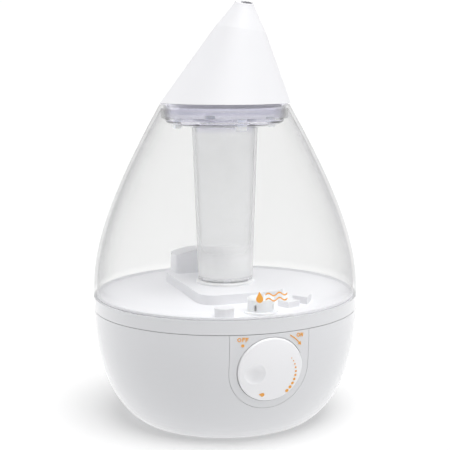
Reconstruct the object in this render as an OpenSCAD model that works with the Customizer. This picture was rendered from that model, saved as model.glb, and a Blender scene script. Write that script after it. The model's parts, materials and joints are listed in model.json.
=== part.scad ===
// Cool mist humidifier: drop shaped tank on a bowl shaped base, turning cone nozzle on top.
// Units mm, +Z up, knob faces -Y, floor at z = 0.

/* [Body] */
// Largest diameter of base and tank, mm
body_d = 216; // [200:1:230]
// Top edge of the base, mm
seam_z = 91; // [88:0.5:94]
// Gap between base and tank, mm
seam_gap = 0.4; // [0.4:0.1:1]
// Base wall thickness, mm
base_wall = 3; // [2:0.2:4]
// Clear tank wall thickness, mm
tank_wall = 2.4; // [1.6:0.2:3]
// Top of the tank floor, mm
floor_z = 102.2; // [100:0.2:104]
// Height of the tank neck, mm
neck_z = 255.9; // [250:0.1:260]
// Inner radius of the tank neck, mm
neck_r = 49.6; // [46:0.1:50]

/* [Mist path] */
// Outer radius of the mist tube at its foot, mm
tube_r0 = 22.4; // [21:0.1:24]
// Outer radius of the mist tube at its top, mm
tube_r1 = 26.8; // [26:0.1:28]
// Height of the cone nozzle tip, mm
tip_z = 338; // [320:1:350]
// Direction the cone leans to at rest, degrees from +X
lean_az = -18.5; // [-180:0.5:180]
// Radius of the mist outlet, mm
outlet_r = 4.9; // [3:0.1:5.2]

/* [Control] */
// Height of the knob centre, mm
knob_z = 62.5; // [58:0.5:66]
// Radius of the knob, mm
knob_r = 25.5; // [25:0.1:26]
// Half width of the U shaped panel, mm
panel_w = 31.4; // [30:0.1:34]
// Backward tilt of the knob face, degrees
knob_tilt = 9.2; // [0:0.1:15]
// Gap around the knob, mm
knob_gap = 0.45; // [0.3:0.05:0.6]

/* [Hidden] */
R = body_d / 2;
e = 0.01;
white = [0.93, 0.93, 0.92];
clear = [0.85, 0.9, 0.95, 0.35];
orange = [0.9, 0.5, 0.15];
steel = [0.7, 0.7, 0.72];
rubber = [0.25, 0.25, 0.25];
nb = 18;
nt = 24;

// cubic curve and its inward offset, each point is [radius, height]
function cv(p, t) = pow(1-t,3)*p[0] + 3*pow(1-t,2)*t*p[1] + 3*(1-t)*t*t*p[2] + pow(t,3)*p[3];
function dv(p, t) = 3*pow(1-t,2)*(p[1]-p[0]) + 6*(1-t)*t*(p[2]-p[1]) + 3*t*t*(p[3]-p[2]);
function un(v) = v / norm(v);
function base_in(t, d) = let(k = un(dv(base_c, t))) cv(base_c, t) + d*[k[1], -k[0]];
function tank_in(t, d) = let(k = un(dv(tank_c, t))) cv(tank_c, t) + d*[-k[1], k[0]];
base_c = [[R, seam_z], [R, seam_z-36.5], [R-11, 15.6], [R-33.2, 1.5]];
tank_c = [[R, 106.5], [R, 145], [R-18, 190.1], [R-55.3, neck_z]];
base_out_pts = [for (i=[0:nb]) cv(base_c, i/nb)];
function base_pts(d) = [for (i=[0:nb]) base_in(i/nb, d)];
function base_mid(a, b) = [for (i=[nb:-1:0]) let(q = base_in(i/nb, base_wall)) if (q[1] > a && q[1] < b) q];
tank_out_pts = [for (i=[0:nt]) cv(tank_c, i/nt)];
knob_y = R - 2.2;
// height of the print on the tank
motif_z = 118.6;
collar_wall = 2.8;
// glue line between the skirt ring and the clear tank
glue_gap = 0.2;

module rev(p) { rotate_extrude($fn=128) polygon(p); }
module tube(ro, ri, z0, z1) { rev([[ri, z0], [ro, z0], [ro, z1], [ri, z1]]); }
module rrect(x, y, r) {
  square([x-2*r, y], center=true);
  square([x, y-2*r], center=true);
  for (i=[-1,1], j=[-1,1]) translate([i*(x/2-r), j*(y/2-r)]) circle(r=r, $fn=48);
}
module box(x0, x1, y0, y1, z0, z1) { translate([x0, y0, z0]) cube([x1-x0, y1-y0, z1-z0]); }
module cyl(x, y, r, z0, z1) { translate([x, y, z0]) cylinder(r=r, h=z1-z0, $fn=64); }
module knob_frame() { translate([0, -knob_y, knob_z]) rotate([90+knob_tilt, 0, 0]) children(); }
module base_solid(d) {
  p = base_pts(d);
  rev(concat([[0, p[0][1]+e]], [[p[0][0], p[0][1]+e]], p, [[0, p[nb][1]]]));
}
module u_prism(w) {
  rotate([90, 0, 0]) linear_extrude(height=R+6) {
    translate([0, knob_z]) circle(r=w, $fn=96);
    translate([-w, knob_z]) square([2*w, seam_z-knob_z+1]);
  }
}
bosses = [[61.8, 16.6], [-61.8, 16.6], [27, -58], [-27, -58]];
feet = [[41, 41], [-41, 41], [41, -41], [-41, -41]];
fan_y = 30;
fan_holes = [[25, 5], [-25, 5], [25, 55], [-25, 55]];
posts = [[33, -10], [-33, -10], [33, -52], [-33, -52]];
// half width and centre of the air duct
duct_x = 19.6;
duct_cx = -4.3;
duct_cy = 56.5;
valve_y = -84;
float_x = 30;
// apex, tilt and half angle tangent of the leaning cone
cone_apex = [18.7, 0, tip_z + 15.5];
cone_tilt = 8.2;
cone_k = 0.535;
// cut plane of the outlet: distance below the apex, tilt to the front and sideways shift of the hole
outlet_s = 16.6;
outlet_tilt = 13;
outlet_shift = 1.6;
mag = [-30.5, -87.9];

module base_bowl() {
  difference() {
    union() {
      rev(concat(base_out_pts, [[73.2, 4.05], [66, 4.05], [66, 6.6], [76.4, 6.6]], base_mid(7, 77),
        [[100.6, 82], [100.6, 84], [R-3.2, 84]], base_mid(85, 200)));
      for (b = bosses) cyl(b[0], b[1], 4.6, 4.05, 15);
    }
    for (b = bosses) cyl(b[0], b[1], 1.5, 3, 13);
    translate([0, 70, 24]) rotate([-90, 0, 0]) cylinder(r=6.1, h=40, $fn=48);
    difference() { u_prism(panel_w+0.25); base_solid(1.4); }
  }
}
module base_shell() color(white) {
  difference() {
    base_bowl();
    knob_frame() translate([0, 0, -10.8]) cylinder(r=28.3, h=24, $fn=96);
  }
}

module control_panel() color(white) {
  difference() {
    intersection() {
      rev(concat([[0, seam_z]], base_out_pts, [[0, 1.5]]));
      union() {
        difference() { u_prism(panel_w); base_solid(1.4); }
        knob_frame() translate([0, 0, -10.4]) cylinder(r=28, h=24, $fn=96);
      }
    }
    knob_frame() {
      translate([0, 0, -9]) cylinder(r=knob_r+knob_gap, h=24, $fn=96);
      translate([0, 0, -12]) cylinder(r=3.6, h=6, $fn=48);
    }
  }
}

// letters are built from bars and rings; h is the letter height
module ring2(r, w) { difference() { circle(r=r, $fn=40); circle(r=r-w, $fn=40); } }
module letter_o(h) { ring2(h/2, h*0.2); }
module letter_f(h) {
  translate([-h*0.3, -h/2]) square([h*0.2, h]);
  translate([-h*0.3, h/2-h*0.2]) square([h*0.66, h*0.2]);
  translate([-h*0.3, -h*0.06]) square([h*0.56, h*0.18]);
}
module letter_n(h) {
  translate([-h*0.38, -h/2]) square([h*0.2, h]);
  translate([h*0.18, -h/2]) square([h*0.2, h]);
  polygon([[-h*0.38, h/2], [-h*0.14, h/2], [h*0.38, -h/2], [h*0.14, -h/2]]);
}
// curved arrow along a circle of radius r, from angle a down to angle b
module on_arrow(r, a, b) {
  n = 8;
  arc = [for (i=[0:n]) let(t = a+(b-a)*i/n) [cos(t), sin(t)]];
  polygon(concat([for (q = arc) (r-0.42)*q], [for (i=[n:-1:0]) (r+0.42)*arc[i]]));
  rotate(b) polygon([[r-1.5, 0.1], [r+1.5, 0.1], [r, -2.6]]);
}
module panel_marks() color(orange) {
  intersection() {
    difference() {
      rev(concat([[0, seam_z]], [for (i=[0:nb]) base_in(i/nb, -0.25)], [[0, 1.5]]));
      rev(concat([[0, seam_z+1], [R, seam_z+1]], base_out_pts, [[0, 1.5]]));
    }
    rotate([90, 0, 0]) linear_extrude(height=R+6) translate([0, knob_z]) {
      translate([-24.7, 25.2]) rotate(-4) letter_o(3);
      translate([-21.6, 25.2]) rotate(-4) letter_f(3.2);
      translate([-19.2, 25]) rotate(-4) letter_f(3.2);
      translate([-22.2, 20.7]) circle(r=1.15, $fn=32);
      translate([21.9, 25.3]) rotate(-6) letter_o(3);
      translate([24.9, 25.1]) rotate(-6) letter_n(3);
      on_arrow(29.8, 60, 40);
    }
  }
}

// round pool over the transducer with a ring of splash fins and the float's post
module basin_pool() color(white) {
  difference() {
    union() {
      rev([[10, 58], [16, 58], [16, 66], [44, 66], [44, 86], [46, 86],
        [46, 64], [18, 64], [18, 56], [10, 56]]);
      cyl(float_x, 0, 3, 65, 83.5);
      for (a=[60:60:300]) rotate([0, 0, a]) box(19, 20.6, -5, 5, 65, 74);
    }
    cyl(float_x, 0, 1, 75, 90);
  }
}
module basin_deck() color(white) {
  difference() {
    union() {
      rev([[46, 84], [46, 86], [96.6, 86], [96.6, 97], [98.4, 97], [98.4, 86], [104.3, 86], [104.3, 84]]);
      cyl(0, valve_y, 6, 85, 87.5);
      cyl(0, valve_y, 3.2, 85, 92.7);
      for (a=[150, 210, 330, 30]) rotate([0, 0, a]) box(60, 84, -1, 1, 85, 88);
    }
    translate([duct_cx, duct_cy, 80]) linear_extrude(height=10) rrect(2*duct_x, 15, 3);
    knob_frame() translate([0, 0, -10.8]) cylinder(r=28.3, h=24, $fn=96);
  }
}
module air_chimney() color(white) {
  translate([duct_cx, duct_cy, 84]) linear_extrude(height=38) difference() {
    rrect(2*duct_x, 15, 3);
    rrect(2*duct_x-3.6, 11.4, 1.6);
  }
}

module float_cap() color(white) {
  cyl(float_x, 0, 5, 83.5, 85);
  cyl(float_x, 0, 0.9, 76, 84);
}

module base_plate() color(white) {
  difference() {
    union() {
      rev([[0, 1.5], [71.4, 1.5], [72.2, 2.3], [72.2, 4.05], [0, 4.05]]);
      for (p = fan_holes) cyl(p[0], p[1], 3.4, 4, 8.5);
      for (p = posts) cyl(p[0], p[1], 3, 4, 26);
    }
    for (b = bosses) { cyl(b[0], b[1], 1.7, 1, 5); cyl(b[0], b[1], 3.3, 1, 3.1); }
    for (p = feet) cyl(p[0], p[1], 8.1, 1, 2.7);
    for (p = fan_holes) cyl(p[0], p[1], 1.5, 3, 9);
    for (p = posts) cyl(p[0], p[1], 1.2, 12, 27);
    for (i=[-2:2]) translate([8.4*i, fan_y, 0]) linear_extrude(height=8)
      rrect(6, 2*sqrt(24*24-8.4*8.4*i*i), 2.9);
  }
}

module rubber_feet() color(rubber) {
  for (p = feet) translate([p[0], p[1], 0])
    rev([[0, 0.5], [3.5, 0.5], [4, 0], [7, 0], [7.7, 0.6], [8, 1.4], [8, 2.7], [0, 2.7]]);
}
module base_screws() color(steel) {
  for (b = bosses) translate([b[0], b[1], 0]) difference() {
    rev([[0, 1.6], [2.6, 1.6], [3, 2], [3, 3.1], [1.4, 3.1], [1.4, 11.5], [0, 12.5]]);
    for (a=[0,90]) rotate([0, 0, a]) box(-1.8, 1.8, -0.35, 0.35, 1, 2.3);
  }
}

module transducer_disc() color(steel) rev([[0, 53.5], [10, 53.5], [10, 54.5], [0, 54.5]]);
module transducer_gasket() color(rubber) tube(12.4, 8.4, 54.5, 56);
module transducer_retainer() color([0.8, 0.7, 0.4]) {
  difference() {
    rev([[7.5, 51.9], [17.6, 51.9], [17.6, 56], [12.8, 56], [12.8, 53.5], [7.5, 53.5]]);
    for (a=[45:90:315]) rotate([0, 0, a]) cyl(15.2, 0, 1.1, 50, 55);
  }
}

module driver_board() color([0.12, 0.35, 0.18]) {
  difference() {
    translate([0, -31, 26]) linear_extrude(height=1.6) rrect(76, 52, 2);
    for (p = posts) cyl(p[0], p[1], 1.3, 25, 29);
  }
}
module board_screws() color(steel) {
  for (p = posts) translate([p[0], p[1], 0])
    rev([[0, 14], [1.05, 14], [1.05, 27.6], [2.4, 27.6], [2.4, 28.6], [1.6, 29.3], [0, 29.3]]);
}
module board_parts() color([0.15, 0.15, 0.17]) {
  cyl(-22, -16, 5, 27.6, 43);
  cyl(-10, -14, 4, 27.6, 39);
  cyl(-24, -30, 3, 27.6, 36);
  box(-16, -8, -34, -26, 27.6, 33);
  translate([2, -44, 27.6]) rotate_extrude($fn=64) translate([5, 3.2]) circle(r=2.6, $fn=32);
  cyl(2, -44, 1.5, 27.6, 31);
  box(1, 3, -47, -41, 27.6, 30);
  box(-35, -29, -36, -22, 27.6, 34);
}
module heat_sink() color([0.75, 0.76, 0.78]) {
  box(12, 34, -23, -19, 27.6, 46);
  for (i=[0:5]) box(12+4*i, 13.8+4*i, -28, -14, 29, 46);
}
module power_module() color([0.85, 0.75, 0.25]) {
  box(10.4, 29.6, -50, -32, 27.6, 31);
  box(12.4, 27.6, -48, -34, 31, 46);
  box(10.4, 29.6, -50, -32, 46, 48.5);
}

module potentiometer() color([0.3, 0.3, 0.32]) {
  knob_frame() difference() {
    union() {
      translate([0, 0, -22]) cylinder(r=8.5, h=11.6, $fn=64);
      translate([0, 0, -11]) cylinder(r=3.5, h=3.6, $fn=48);
      translate([-5, -11.5, -21]) cube([10, 5, 1.6]);
      for (i=[-1:1]) translate([i*3.4-0.5, -14, -20.6]) cube([1, 4, 0.8]);
    }
    translate([0, 0, -16.4]) cylinder(r=3, h=12, $fn=48);
  }
}
module pot_nut() color(steel) {
  knob_frame() difference() {
    translate([0, 0, -9]) cylinder(r=6, h=2, $fn=6);
    translate([0, 0, -10]) cylinder(r=3.6, h=4, $fn=48);
  }
}

module fan_frame() color([0.12, 0.12, 0.12]) {
  difference() {
    translate([0, fan_y, 8.5]) linear_extrude(height=15) rrect(59.6, 59.6, 4);
    cyl(0, fan_y, 28.4, 8, 24);
    for (p = fan_holes) cyl(p[0], p[1], 1.8, 8, 24);
  }
  cyl(0, fan_y, 13, 8.5, 10.3);
  cyl(0, fan_y, 1.5, 10, 20);
  for (a=[30, 150, 270]) translate([0, fan_y, 0]) rotate([0, 0, a]) box(10, 28.9, -2, 2, 8.5, 10.3);
}
module fan_rotor() color([0.1, 0.1, 0.1]) {
  difference() {
    union() {
      translate([0, fan_y, 0]) rev([[0, 10.8], [12.6, 10.8], [12.6, 21.6], [11.6, 22.8], [0, 22.8]]);
      intersection() {
        cyl(0, fan_y, 27.6, 11.2, 22.4);
        for (a=[0:40:320]) translate([0, fan_y, 16.8]) rotate([0, 0, a])
          rotate([48, 0, 0]) box(11, 30, -8.5, 8.5, -0.7, 0.7);
      }
    }
    cyl(0, fan_y, 1.55, 10, 20.4);
  }
}
module fan_screws() color(steel) {
  for (p = fan_holes) translate([p[0], p[1], 0])
    rev([[0, 4.4], [1.4, 4.4], [1.4, 23.5], [2.5, 23.5], [2.5, 24.6], [1.6, 25.3], [0, 25.3]]);
}
module fan_duct() color(white) {
  difference() {
    union() {
      box(-29.7, 29.7, 0.4, 59.6, 23.5, 36);
      translate([duct_cx, duct_cy, 32]) linear_extrude(height=52) rrect(2*duct_x, 15, 3);
    }
    box(-28.1, 28.1, 2, 58, 23, 34.4);
    translate([duct_cx, duct_cy, 33.6]) linear_extrude(height=52) rrect(2*duct_x-3.2, 11.8, 1.6);
  }
}
module cord_gland() color([0.9, 0.9, 0.89]) {
  translate([0, 0, 24]) rotate([-90, 0, 0]) difference() {
    union() {
      translate([0, 0, 80]) cylinder(r=6, h=18, $fn=48);
      translate([0, 0, 82]) cylinder(r=8.4, h=2.6, $fn=48);
      translate([0, 0, 97.2]) cylinder(r=5, h=5.8, $fn=48);
    }
    translate([0, 0, 78]) cylinder(r=3, h=27, $fn=48);
    for (i=[0:2]) translate([0, 0, 98.6+1.5*i]) difference() {
      cylinder(r=6, h=0.7, $fn=48);
      cylinder(r=4.2, h=0.7, $fn=48);
    }
  }
}
module reed_switch() color([0.2, 0.2, 0.22]) {
  translate([mag[0], mag[1], 80.6]) rotate([0, 0, -19]) {
    box(-7, 7, -2.5, 2.5, 0, 3.4);
    box(-8.6, 8.6, -0.4, 0.4, 1, 1.8);
  }
}

dimple_x = -14;
dimple_y = -1.6;
dimple_r = 13.2;
dimple_depth = 3.1;
// how far the knob stands out of its recess
knob_rise = 1.6;
function dome(r) = knob_rise + 0.2 - (120 - sqrt(120*120 - r*r));
function dome_pt(i, d) = let(q = (knob_r-0.9)*i/10) [q, dome(q)+d];
module knob() color(white) {
  knob_frame() difference() {
    rev(concat([[3.05, -2.6], [3.05, -6.2], [6, -6.2], [6, -4.2], [knob_r-1.8, -4.6], [knob_r-1.8, -6.6],
      [knob_r, -6.6], [knob_r, knob_rise-3.5], [knob_r-0.3, knob_rise-2.9]],
      [for (i=[10:-1:0]) dome_pt(i, 0)], [[0, -2.6]]));
    translate([dimple_x, dimple_y, dome(-dimple_x)+dimple_r-dimple_depth]) sphere(r=dimple_r, $fn=96);
  }
}
module knob_marks() color(orange) {
  knob_frame() intersection() {
    rev(concat([for (i=[0:10]) dome_pt(i, 0)], [for (i=[10:-1:0]) dome_pt(i, 0.2)]));
    translate([0, 0, -4]) linear_extrude(height=8) {
      for (i=[0:9]) rotate(28.5-9*i) translate([18+0.57*i, 0]) circle(r=0.4+0.11*i, $fn=24);
      translate([-5.8, -19.4]) circle(r=1.6, $fn=32);
      polygon([[-6, -17.8], [-6, -21], [-8.8, -18.8]]);
    }
  }
}
module knob_shaft() color(steel) {
  knob_frame() translate([0, 0, -16]) cylinder(r=2.95, h=13.4, $fn=48);
}

module float_ring() color([0.9, 0.9, 0.85]) {
  difference() {
    translate([float_x, 0, 0]) rev([[3.5, 66.3], [9, 66.3], [9.5, 67], [9.5, 73.5], [9, 74.2], [3.5, 74.2]]);
    translate([float_x, 0, 0]) tube(6.6, 4.6, 71.2, 75);
  }
}
module float_magnet() color([0.2, 0.2, 0.22]) translate([float_x, 0, 0]) tube(6.5, 4.7, 71.2, 74);

module tank_shell() color(clear) {
  rev(concat([[R, floor_z]], tank_out_pts, [[neck_r, neck_z], [neck_r, neck_z-10.4],
    [neck_r+2, neck_z-10.4], [neck_r+2, neck_z-3]],
    [for (i=[nt-1:-1:0]) tank_in(i/nt, tank_wall)], [[R-tank_wall, floor_z]]));
}
// front and back of the raised island on the tank floor
isl_y0 = -51;
isl_y1 = 67;
module island(d) {
  translate([0, (isl_y0+isl_y1)/2, 90]) linear_extrude(height=20-d)
    rrect(71-2*d, isl_y1-isl_y0-2*d, 14-d);
  intersection() {
    translate([duct_cx, 56, 90]) linear_extrude(height=41) rrect(2*duct_x+10.2-2*d, 22-2*d, 4-d/2);
    translate([duct_cx, 100, 57]) rotate([90, 0, 0]) cylinder(r=73-d, h=90, $fn=128);
  }
}
// skirt ring that carries the tank on the base
module tank_collar() color(white) tube(R, R-collar_wall, seam_z+seam_gap, floor_z-glue_gap);
module tank_floor() color(white) {
  difference() {
    union() {
      rev([[0, floor_z-2.4], [R-collar_wall, floor_z-2.4], [R-collar_wall, floor_z], [0, floor_z]]);
      cyl(mag[0], mag[1], 7.5, floor_z-1, 109);
      rotate([0, 0, -69]) box(71, 83, -6, 6, floor_z-1, floor_z+4.6);
      rotate([0, 0, -55]) translate([0, 0, floor_z-1]) linear_extrude(height=6.6)
        polygon([[70, -6], [84, -6], [79, 8], [75, 8]]);
    }
    island(0);
    cyl(0, valve_y, 10.4, 90, 110);
    cyl(mag[0], mag[1], 5.3, 90, 107);
  }
}
// hollow hood over the pool and the air chimney
module tank_island() color(white) {
  difference() {
    island(0);
    box(-R, R, -R, R, 80, floor_z-2.4);
    island(2.2);
    cyl(0, 0, 19.8, 90, 120);
  }
}
// printed drop and two waves on the front of the tank
module wave(x0, x1, z) {
  n = 24;
  c = [for (i=[0:n]) [x0+(x1-x0)*i/n, z+1.1*sin(720*i/n)]];
  polygon(concat([for (q = c) q-[0, 0.55]], [for (i=[n:-1:0]) c[i]+[0, 0.55]]));
}
module tank_motif() color(orange) {
  intersection() {
    difference() {
      rev(concat([[0, motif_z-12], [R+0.2, motif_z-12]], [for (i=[0:nt]) tank_in(i/nt, -0.2)],
        [[0, neck_z]]));
      rev(concat([[0, motif_z-13]], [[R, motif_z-13]], tank_out_pts, [[0, neck_z+1]]));
    }
    rotate([90, 0, 0]) linear_extrude(height=R+6) {
      translate([-9.5, motif_z-1]) circle(r=2.7, $fn=48);
      polygon([[-11.9, motif_z+0.2], [-7.1, motif_z+0.2], [-9.5, motif_z+4.6]]);
      wave(-5, 12.5, motif_z+1.9);
      wave(-5, 12.5, motif_z-1.9);
    }
  }
}
module tank_seal() color([0.9, 0.9, 0.9, 0.6]) {
  rev([[R-tank_wall-3.2, floor_z], [R-tank_wall, floor_z], [R-tank_wall, floor_z+1.6],
    [R-tank_wall-1.4, floor_z+1.6]]);
}
module mist_tube() color(clear) {
  difference() {
    rev([[tube_r0-2, 112.4], [tube_r0, 112.4], [tube_r1, 237.6], [tube_r1-2, 237.6]]);
    for (a=[0:60:120]) rotate([0, 0, a+15]) box(-30, 30, -3, 3, 112, 115.2);
  }
}
module tube_foot() color([0.9, 0.9, 0.9]) {
  rev([[19.8, 110], [tube_r0+1.6, 110], [tube_r0+1.6, 111.6], [tube_r0+1, 112.4], [19.8, 112.4]]);
}
// splash baffle, eight slots let the mist pass
module tube_baffle() color(white) {
  difference() {
    cyl(0, 0, 20.3, 113, 114.6);
    for (a=[0:45:315]) rotate([0, 0, a+10]) box(8, 16, -0.9, 0.9, 112, 116);
  }
}
module valve_cup() color([0.9, 0.92, 0.9, 0.6]) {
  difference() {
    translate([0, valve_y, 0]) rev([[5.5, 96.5], [10.2, 96.5], [10.2, floor_z], [13, floor_z],
      [13, 103.8], [10.2, 103.8], [10.2, 113], [9.2, 114], [2.4, 114], [2.4, 112], [8.6, 112],
      [8.6, 98.5], [5.5, 98.5]]);
    for (a=[45, 135]) translate([0, valve_y, 0]) rotate([0, 0, a]) box(-12, 12, -1.1, 1.1, 104.6, 109.4);
  }
}
module tank_magnet() color([0.25, 0.25, 0.27]) cyl(mag[0], mag[1], 5.2, 101, 107);
// round wire wound four turns
module valve_spring() color(steel) {
  n = 80;
  m = 6;
  sp = [for (i=[0:n], j=[0:m-1]) let(a = 360*4*i/n, w = 360*j/m)
    [(4.3+0.5*cos(w))*cos(a), (4.3+0.5*cos(w))*sin(a), 0.55+6.3*i/n+0.5*sin(w)]];
  fc = concat([[for (j=[0:m-1]) j]], [[for (j=[m-1:-1:0]) n*m+j]],
    [for (i=[0:n-1], j=[0:m-1]) [i*m+j, (i+1)*m+j, (i+1)*m+(j+1)%m]],
    [for (i=[0:n-1], j=[0:m-1]) [i*m+j, (i+1)*m+(j+1)%m, i*m+(j+1)%m]]);
  translate([0, valve_y, 104.4]) polyhedron(points=sp, faces=fc);
}
module valve_plunger() color([0.92, 0.92, 0.9]) {
  translate([0, valve_y, 0]) rev([[0, 93], [1.4, 93], [2, 93.6], [2, 102.5], [6.8, 102.5], [6.8, 104],
    [2, 104], [2, 116.4], [1.4, 117], [0, 117]]);
}
module valve_disc() color(rubber) translate([0, valve_y, 0]) tube(7.3, 2, 101.3, 102.5);

module neck_dish() color(clear) {
  difference() {
    rev([[52, 257.1], [52, 256.2], [48.6, 256.2], [48.6, 244.2], [47.6, 242.2], [45, 240.6],
    [38, 239], [24.4, 238], [24.4, 234], [23.2, 234], [23.2, 238.6], [22, 238.6], [22, 241.6],
    [24, 241.6], [24.6, 240.2], [38, 241.1], [43.4, 242.4], [46.1, 244], [46.9, 246], [46.9, 257.1]]);
    pad_stems();
  }
}
// frosted pads plugged through the floor of the dish
module pad_stems() {
  for (a=[0:90:270]) rotate([0, 0, a]) box(37.6, 42.6, -3.8, 3.8, 237.2, 245);
}
module dish_pads() color([0.9, 0.92, 0.92, 0.6]) pad_stems();
module lid_seal() color([0.85, 0.85, 0.85]) tube(49.3, 48.6, 249, 251.4);

// straight sided cone that leans: its apex, tilt and half angle set its shape
module cap_rev(p) {
  rotate([0, 0, lean_az]) translate(cone_apex) rotate([0, cone_tilt, 0])
    rev([for (q = p) [q[0], -q[1]]]);
}
// everything above a plane d below the tilted face of the tip
module above_tip(d) {
  outlet_frame() translate([0, 0, -d]) box(-20, 20, -20, 20, 0, 20);
}
module outlet_frame() {
  rotate([0, 0, lean_az]) translate(cone_apex) rotate([0, cone_tilt, 0])
    translate([0, 0, -outlet_s]) rotate([outlet_tilt, 0, 0]) children();
}
module mist_cap() color(white) {
  z0 = 257.4;
  difference() {
    cap_rev([[0, 14], [5.4, 14], [6.6, 15.4], [7.6, 17.2], [8.6, 19.2], [9.7, 21.2], [12.4, 25.6],
      [16.1, 31.4], [38*cone_k, 38], [120*cone_k, 120], [0, 120]]);
    difference() {
      cap_rev([[0, 15], [4.2, 15], [5.8, 17.4], [6.9, 19.4], [8.2, 22], [10.8, 26.6], [14.1, 32],
        [33.13*cone_k, 38], [116.13*cone_k, 121], [0, 121]]);
      above_tip(1.5);
    }
    above_tip(0);
    box(-90, 90, -90, 90, 200, z0);
    outlet_frame() translate([outlet_shift, 0, -4]) cylinder(r=outlet_r, h=8, $fn=64);
  }
  rev([[45, 254.2], [46.5, 254.2], [46.5, z0+0.1], [50.4, z0+0.1], [49.6, z0+1.9], [45, z0+1.9]]);
}

base_shell();
control_panel();
panel_marks();
basin_pool();
basin_deck();
air_chimney();
float_cap();
base_plate();
rubber_feet();
base_screws();
transducer_disc();
transducer_gasket();
transducer_retainer();
driver_board();
board_parts();
board_screws();
heat_sink();
power_module();
potentiometer();
pot_nut();
fan_frame();
fan_screws();
fan_duct();
cord_gland();
reed_switch();
knob();
knob_marks();
knob_shaft();
fan_rotor();
float_ring();
float_magnet();
tank_shell();
tank_collar();
tank_floor();
tank_island();
tank_seal();
mist_tube();
tube_foot();
valve_cup();
tank_magnet();
valve_spring();
valve_plunger();
valve_disc();
tube_baffle();
tank_motif();
neck_dish();
dish_pads();
lid_seal();
mist_cap();
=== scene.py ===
"""Cool mist humidifier: looks, floor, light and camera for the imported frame. Metres, +Z up, knob faces -Y."""
import json
import math

import bpy
from mathutils import Matrix, Vector

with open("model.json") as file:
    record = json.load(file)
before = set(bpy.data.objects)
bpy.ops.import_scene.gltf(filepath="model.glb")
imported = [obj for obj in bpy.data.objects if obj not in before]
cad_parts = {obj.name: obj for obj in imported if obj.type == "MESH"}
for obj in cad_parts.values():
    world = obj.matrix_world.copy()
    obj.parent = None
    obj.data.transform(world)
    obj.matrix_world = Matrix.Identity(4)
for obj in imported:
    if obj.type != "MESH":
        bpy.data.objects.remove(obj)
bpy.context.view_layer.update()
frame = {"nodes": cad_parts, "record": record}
NODES = frame["nodes"]

# noise features a metre: drift of tone, drift of roughness, ripple and streaks of clear plastic
TONE_SCALE = 18
ROUGH_SCALE = 240
RIPPLE_SCALE = 35
STREAK_SCALE = 60
# faces that meet at a sharper angle than this, in degrees, keep a crisp edge
SHARP_ANGLE = 25
# height of a clear plastic's ripple, in metres
RIPPLE_DEPTH = 0.0004
# tint of clear plastic at its foot, almost none
FOOT_TINT = (0.995, 0.995, 0.995, 1)


# ---------- node helpers ----------

def new_material(name):
    """An empty node material and its output node."""
    mat = bpy.data.materials.new(name)
    mat.use_nodes = True
    mat.node_tree.nodes.clear()
    out = mat.node_tree.nodes.new("ShaderNodeOutputMaterial")
    return mat, mat.node_tree, out


def noise(tree, scale, detail=3.0, stretch=(1, 1, 1)):
    """Noise in object space, with scale in features a metre."""
    coord = tree.nodes.new("ShaderNodeTexCoord")
    mapping = tree.nodes.new("ShaderNodeMapping")
    mapping.inputs["Scale"].default_value = stretch
    tex = tree.nodes.new("ShaderNodeTexNoise")
    tex.inputs["Scale"].default_value = scale
    tex.inputs["Detail"].default_value = detail
    tree.links.new(coord.outputs["Object"], mapping.inputs["Vector"])
    tree.links.new(mapping.outputs["Vector"], tex.inputs["Vector"])
    return tex.outputs["Fac"]


def remap(tree, value, low, high):
    """Noise, which mostly lies in 0.2..0.8, to low..high."""
    node = tree.nodes.new("ShaderNodeMapRange")
    node.interpolation_type = "SMOOTHSTEP"
    node.inputs["From Min"].default_value = 0.2
    node.inputs["From Max"].default_value = 0.8
    node.inputs["To Min"].default_value = low
    node.inputs["To Max"].default_value = high
    tree.links.new(value, node.inputs["Value"])
    return node.outputs["Result"]


def math_node(tree, operation, value, second, third=0.0, clamp=False):
    """One Math node with a linked first value and fixed second and third ones."""
    node = tree.nodes.new("ShaderNodeMath")
    node.operation = operation
    node.use_clamp = clamp
    node.inputs[1].default_value = second
    node.inputs[2].default_value = third
    tree.links.new(value, node.inputs[0])
    return node.outputs["Value"]


def product(tree, a, b):
    """a times b, both linked."""
    node = tree.nodes.new("ShaderNodeMath")
    node.operation = "MULTIPLY"
    tree.links.new(a, node.inputs[0])
    tree.links.new(b, node.inputs[1])
    return node.outputs["Value"]


def mix_colour(tree, fac, a, b):
    """Colour a where fac is 0, b where it is 1."""
    node = tree.nodes.new("ShaderNodeMix")
    node.data_type = "RGBA"
    node.inputs[6].default_value = (*a, 1)
    node.inputs[7].default_value = (*b, 1)
    tree.links.new(fac, node.inputs[0])
    return node.outputs[2]


def bump(tree, height, strength, distance):
    """Normal of a bumpy surface, distance in metres."""
    node = tree.nodes.new("ShaderNodeBump")
    node.inputs["Strength"].default_value = strength
    node.inputs["Distance"].default_value = distance
    tree.links.new(height, node.inputs["Height"])
    return node.outputs["Normal"]


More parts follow.
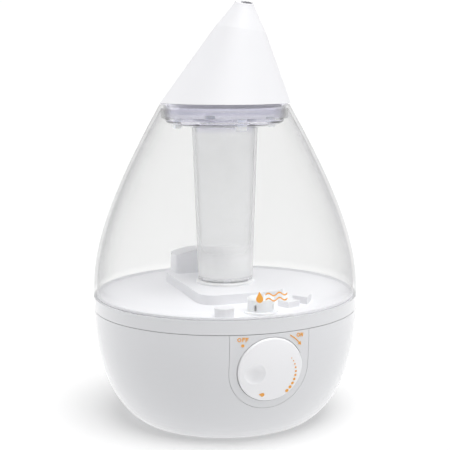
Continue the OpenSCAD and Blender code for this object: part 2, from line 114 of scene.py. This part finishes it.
def moulded(name, colour, rough, grain=2500, depth=0.00004, metallic=0.0, coat=0.0, sub=0.0, shift=0.04,
            glow=0.0):
    """Moulded plastic, rubber or metal: grain of a given depth in metres, and roughness and tone that drift.
    shift is how much darker the tone gets, glow is painted light: a little light the part gives off of its own,
    to brighten parts deep inside."""
    mat, tree, out = new_material(name)
    bsdf = tree.nodes.new("ShaderNodeBsdfPrincipled")
    slow = noise(tree, TONE_SCALE, 2)
    fine = noise(tree, grain, 2)
    darker = tuple(c * (1 - shift) for c in colour)
    tree.links.new(mix_colour(tree, remap(tree, slow, 0, 1), colour, darker), bsdf.inputs["Base Color"])
    tree.links.new(remap(tree, noise(tree, ROUGH_SCALE), rough * 0.93, rough * 1.1), bsdf.inputs["Roughness"])
    tree.links.new(bump(tree, fine, 0.25, depth), bsdf.inputs["Normal"])
    bsdf.inputs["Metallic"].default_value = metallic
    bsdf.inputs["Coat Weight"].default_value = coat
    bsdf.inputs["Coat Roughness"].default_value = 0.08
    # painted light: with glow the part gives off light of its own
    bsdf.inputs["Emission Color"].default_value = (*colour, 1)
    bsdf.inputs["Emission Strength"].default_value = glow
    if sub:
        bsdf.inputs["Subsurface Weight"].default_value = sub
        bsdf.inputs["Subsurface Radius"].default_value = (1.0, 0.9, 0.8)
        bsdf.inputs["Subsurface Scale"].default_value = 0.004
    tree.links.new(bsdf.outputs["BSDF"], out.inputs["Surface"])
    return mat


def height_between(tree, low, high):
    """0 at the height low, 1 at high, in metres above the floor."""
    coord = tree.nodes.new("ShaderNodeTexCoord")
    split = tree.nodes.new("ShaderNodeSeparateXYZ")
    tree.links.new(coord.outputs["Object"], split.inputs["Vector"])
    ramp = tree.nodes.new("ShaderNodeMapRange")
    ramp.inputs["From Min"].default_value = low
    ramp.inputs["From Max"].default_value = high
    tree.links.new(split.outputs["Z"], ramp.inputs["Value"])
    return ramp.outputs["Result"]


def mix_shader(tree, fac, a, b):
    """Shader a where fac is 0, b where it is 1."""
    mix = tree.nodes.new("ShaderNodeMixShader")
    tree.links.new(fac, mix.inputs["Fac"])
    tree.links.new(a, mix.inputs[1])
    tree.links.new(b, mix.inputs[2])
    return mix.outputs["Shader"]


def clear(name, face, edge, foot, gloss=0.9, rough=0.04, glowing_veil=None):
    """Thin clear plastic: each surface tints what it lets through, more at a glancing angle, and has a gloss.
    Tint, gloss and the haze grow from nothing to full between the two heights of foot. The last argument is a
    milky haze that also gives off painted light, a little glow of its own: its share low down, its share high
    up, and the two heights it changes between."""
    mat, tree, out = new_material(name)
    weight = tree.nodes.new("ShaderNodeLayerWeight")
    weight.inputs["Blend"].default_value = 0.5
    through = tree.nodes.new("ShaderNodeBsdfTransparent")
    tint = mix_colour(tree, math_node(tree, "POWER", weight.outputs["Facing"], 2.5), face, edge)
    blend = tree.nodes.new("ShaderNodeMix")
    blend.data_type = "RGBA"
    blend.inputs[6].default_value = FOOT_TINT
    above_foot = height_between(tree, *foot)
    tree.links.new(above_foot, blend.inputs[0])
    tree.links.new(tint, blend.inputs[7])
    tree.links.new(blend.outputs[2], through.inputs["Color"])
    bsdf = tree.nodes.new("ShaderNodeBsdfPrincipled")
    bsdf.inputs["Base Color"].default_value = (0.6, 0.6, 0.61, 1)
    streaks = noise(tree, STREAK_SCALE, stretch=(1, 1, 0.15))
    tree.links.new(remap(tree, streaks, rough, rough * 1.8), bsdf.inputs["Roughness"])
    tree.links.new(bump(tree, noise(tree, RIPPLE_SCALE, 2), 0.08, RIPPLE_DEPTH), bsdf.inputs["Normal"])
    schlick = math_node(tree, "POWER", weight.outputs["Facing"], 5)
    shine = math_node(tree, "MULTIPLY_ADD", schlick, gloss, 0.02, clamp=True)
    shine = product(tree, shine, above_foot)
    surface = mix_shader(tree, shine, through.outputs["BSDF"], bsdf.outputs["BSDF"])
    if glowing_veil:
        glowing_milk = tree.nodes.new("ShaderNodeBsdfPrincipled")
        glowing_milk.inputs["Base Color"].default_value = (0.9, 0.9, 0.9, 1)
        glowing_milk.inputs["Roughness"].default_value = 0.5
        # painted light: the milky haze glows a little of its own, brightening the tube
        glowing_milk.inputs["Emission Color"].default_value = (1, 1, 1, 1)
        glowing_milk.inputs["Emission Strength"].default_value = 0.25
        low, high, start, end = glowing_veil
        share = math_node(tree, "MULTIPLY_ADD", height_between(tree, start, end), high - low, low)
        surface = mix_shader(tree, product(tree, share, above_foot), surface, glowing_milk.outputs["BSDF"])
    tree.links.new(surface, out.inputs["Surface"])
    return mat


def glass(name, colour, ior):
    """Thick clear plastic that bends light, and lets light straight through to what is behind it."""
    mat, tree, out = new_material(name)
    bsdf = tree.nodes.new("ShaderNodeBsdfPrincipled")
    bsdf.inputs["Base Color"].default_value = (*colour, 1)
    bsdf.inputs["Transmission Weight"].default_value = 1.0
    bsdf.inputs["IOR"].default_value = ior
    tree.links.new(remap(tree, noise(tree, STREAK_SCALE), 0.03, 0.07), bsdf.inputs["Roughness"])
    tree.links.new(bump(tree, noise(tree, RIPPLE_SCALE, 2), 0.08, RIPPLE_DEPTH), bsdf.inputs["Normal"])
    through = tree.nodes.new("ShaderNodeBsdfTransparent")
    through.inputs["Color"].default_value = (*colour, 1)
    path = tree.nodes.new("ShaderNodeLightPath")
    surface = mix_shader(tree, path.outputs["Is Shadow Ray"], bsdf.outputs["BSDF"], through.outputs["BSDF"])
    tree.links.new(surface, out.inputs["Surface"])
    return mat


MATERIALS = {
    "white_gloss": moulded("white_gloss", (0.695, 0.70, 0.72), 0.33, coat=1.0, shift=0.01),
    # painted light: white_cap and white_knob are lighter copies of the base's white_gloss plastic, as the cap
    # and knob catch more light
    "white_cap": moulded("white_cap", (0.78, 0.78, 0.80), 0.55, shift=0.01),
    "white_knob": moulded("white_knob", (0.88, 0.88, 0.90), 0.33, coat=0.3, shift=0.01),
    # painted light: white_inner is a lighter copy of the same white that also glows a little, for parts deep
    # inside the tank
    "white_inner": moulded("white_inner", (0.87, 0.87, 0.895), 0.42, shift=0.01, glow=0.09),
    "white_satin": moulded("white_satin", (0.89, 0.89, 0.9), 0.42, shift=0.02),
    "clear_tank": clear("clear_tank", (0.957, 0.958, 0.957), (0.90, 0.90, 0.90), foot=(0.102, 0.110)),
    # painted light: the tube's milky haze glows, with more of it low down
    "clear_tube": clear("clear_tube", (0.984, 0.985, 0.987), (0.85, 0.85, 0.86), foot=(0.112, 0.117),
                        glowing_veil=(0.36, 0.15, 0.122, 0.150)),
    "clear_dish": glass("clear_dish", (0.895, 0.89, 0.95), 1.42),
    # painted light: the frosted parts give off a little light of their own
    "frosted": moulded("frosted", (0.86, 0.87, 0.885), 0.33, sub=0.6, shift=0.02, glow=0.15),
    "orange_print": moulded("orange_print", (0.88, 0.40, 0.06), 0.4, shift=0.08),
    "black_plastic": moulded("black_plastic", (0.03, 0.03, 0.032), 0.45),
    "grey_plastic": moulded("grey_plastic", (0.25, 0.25, 0.27), 0.45),
    "rubber_dark": moulded("rubber_dark", (0.06, 0.06, 0.062), 0.75, grain=1500, depth=0.0001),
    # painted light: the silicone parts give off a little light of their own
    "silicone": moulded("silicone", (0.90, 0.90, 0.91), 0.5, sub=0.2, glow=0.12),
    "steel": moulded("steel", (0.6, 0.6, 0.61), 0.28, metallic=1.0),
    "brass": moulded("brass", (0.75, 0.55, 0.25), 0.32, metallic=1.0),
    "fins": moulded("fins", (0.65, 0.66, 0.68), 0.38, metallic=1.0),
    "board_green": moulded("board_green", (0.03, 0.17, 0.08), 0.35),
    "tape_yellow": moulded("tape_yellow", (0.75, 0.5, 0.06), 0.4),
    "magnet": moulded("magnet", (0.12, 0.12, 0.13), 0.35, metallic=1.0),
}


def dress_frame():
    """Every CAD node gets its slot's material and smooth shading up to sharp edges."""
    slots = {s["node"]: s["material_slot"] for s in frame["record"]["subparts"]}
    for name, obj in NODES.items():
        obj.data.materials.clear()
        obj.data.materials.append(MATERIALS[slots[name]])
        obj.data.shade_smooth()
        obj.data.set_sharp_from_angle(angle=math.radians(SHARP_ANGLE))


# ---------- stage, light and camera ----------

def seen_directly(tree):
    """1 for what the camera sees straight or through clear plastic, 0 for light that falls on the object."""
    path = tree.nodes.new("ShaderNodeLightPath")
    either = tree.nodes.new("ShaderNodeMath")
    either.operation = "MAXIMUM"
    tree.links.new(path.outputs["Is Camera Ray"], either.inputs[0])
    tree.links.new(path.outputs["Is Transmission Ray"], either.inputs[1])
    return either.outputs["Value"]


# albedo and glow of the floor, first for the light it throws on the object, then as the camera sees it
FLOOR_BOUNCE = (0.2, 0.85)
FLOOR_SEEN = (0.57, 0.27)


def add_floor():
    """A flat white sweep out to the horizon."""
    size = 300.0
    mesh = bpy.data.meshes.new("floor")
    corners = [(-size, -size, 0), (size, -size, 0), (size, size, 0), (-size, size, 0)]
    mesh.from_pydata(corners, [], [(0, 1, 2, 3)])
    floor = bpy.data.objects.new("floor", mesh)
    bpy.context.scene.collection.objects.link(floor)
    white, tree, out = new_material("floor_white")
    bsdf = tree.nodes.new("ShaderNodeBsdfPrincipled")
    bsdf.inputs["Roughness"].default_value = 0.8
    bsdf.inputs["Specular IOR Level"].default_value = 0.1
    bsdf.inputs["Emission Color"].default_value = (1, 1, 1, 1)
    # to the camera the floor is a lit white sweep with a pale shadow, to the object it is an even white light
    seen = seen_directly(tree)
    albedo = mix_colour(tree, seen, (FLOOR_BOUNCE[0],) * 3, (FLOOR_SEEN[0],) * 3)
    tree.links.new(albedo, bsdf.inputs["Base Color"])
    glow = math_node(tree, "MULTIPLY_ADD", seen, FLOOR_SEEN[1] - FLOOR_BOUNCE[1], FLOOR_BOUNCE[1])
    tree.links.new(glow, bsdf.inputs["Emission Strength"])
    tree.links.new(bsdf.outputs["BSDF"], out.inputs["Surface"])
    mesh.materials.append(white)


def area(name, place, target, size, power):
    """Round soft light at place, aimed at target."""
    lamp = bpy.data.lights.new(name, "AREA")
    lamp.shape = "DISK"
    lamp.size = size
    lamp.energy = power
    obj = bpy.data.objects.new(name, lamp)
    obj.location = place
    obj.rotation_euler = (Vector(target) - Vector(place)).to_track_quat("-Z", "Y").to_euler()
    bpy.context.scene.collection.objects.link(obj)


def sun(direction, spread, strength):
    """Soft light from all over a disc of the sky that is spread degrees wide."""
    lamp = bpy.data.lights.new("top", "SUN")
    lamp.angle = math.radians(spread)
    lamp.energy = strength
    obj = bpy.data.objects.new("top", lamp)
    obj.rotation_euler = Vector(direction).to_track_quat("-Z", "Y").to_euler()
    bpy.context.scene.collection.objects.link(obj)


# the studio is dimmer on this side, so the front of the white base shades a little
DIM_SIDE = (-0.50, -0.86, 0.10)


def add_light():
    """A bright white studio, dimmer on one side, with a broad light above and a rim light at the left."""
    world = bpy.data.worlds.new("studio")
    bpy.context.scene.world = world
    world.use_nodes = True
    tree = world.node_tree
    tree.nodes.clear()
    out = tree.nodes.new("ShaderNodeOutputWorld")
    back = tree.nodes.new("ShaderNodeBackground")
    back.inputs["Color"].default_value = (1, 1, 1, 1)
    coord = tree.nodes.new("ShaderNodeTexCoord")
    side = tree.nodes.new("ShaderNodeVectorMath")
    side.operation = "DOT_PRODUCT"
    side.inputs[1].default_value = DIM_SIDE
    tree.links.new(coord.outputs["Generated"], side.inputs[0])
    level = tree.nodes.new("ShaderNodeMapRange")
    level.inputs["From Min"].default_value = -0.2
    level.inputs["From Max"].default_value = 0.9
    level.inputs["To Min"].default_value = 0.6
    level.inputs["To Max"].default_value = 0.02
    level.interpolation_type = "SMOOTHSTEP"
    tree.links.new(side.outputs["Value"], level.inputs["Value"])
    tree.links.new(level.outputs["Result"], back.inputs["Strength"])
    white = tree.nodes.new("ShaderNodeBackground")
    white.inputs["Strength"].default_value = 1.03
    white.inputs["Color"].default_value = (1, 1, 1, 1)
    surface = mix_shader(tree, seen_directly(tree), back.outputs["Background"], white.outputs["Background"])
    tree.links.new(surface, out.inputs["Surface"])
    sun((-0.05, 0.30, -1), 50, 3.3)
    area("left_rim", (-1.0, 0.8, 0.35), (0, 0, 0.1), 0.8, 3)


def add_camera():
    """The viewpoint turns 18.5 degrees to the left of the knob's axis, a little above the tank."""
    turn = math.radians(-18.5)
    distance, height = 0.875, 0.2874
    # how far the view dips, and how far it looks past the middle
    pitch, yaw = math.radians(8.47), math.radians(1.93)
    spin = Matrix.Rotation(turn, 3, "Z")
    look = Vector((math.sin(yaw) * math.cos(pitch), math.cos(yaw) * math.cos(pitch), -math.sin(pitch)))
    cam = bpy.data.cameras.new("camera")
    cam.sensor_width = 36
    cam.lens = 85.93
    cam.shift_x = -0.08
    cam.clip_start = 0.05
    obj = bpy.data.objects.new("camera", cam)
    obj.location = spin @ Vector((0, -distance, height))
    obj.rotation_euler = (spin @ look).to_track_quat("-Z", "Y").to_euler()
    bpy.context.scene.collection.objects.link(obj)
    bpy.context.scene.camera = obj


dress_frame()
add_floor()
add_light()
add_camera()
bpy.context.scene.view_settings.view_transform = "Standard"
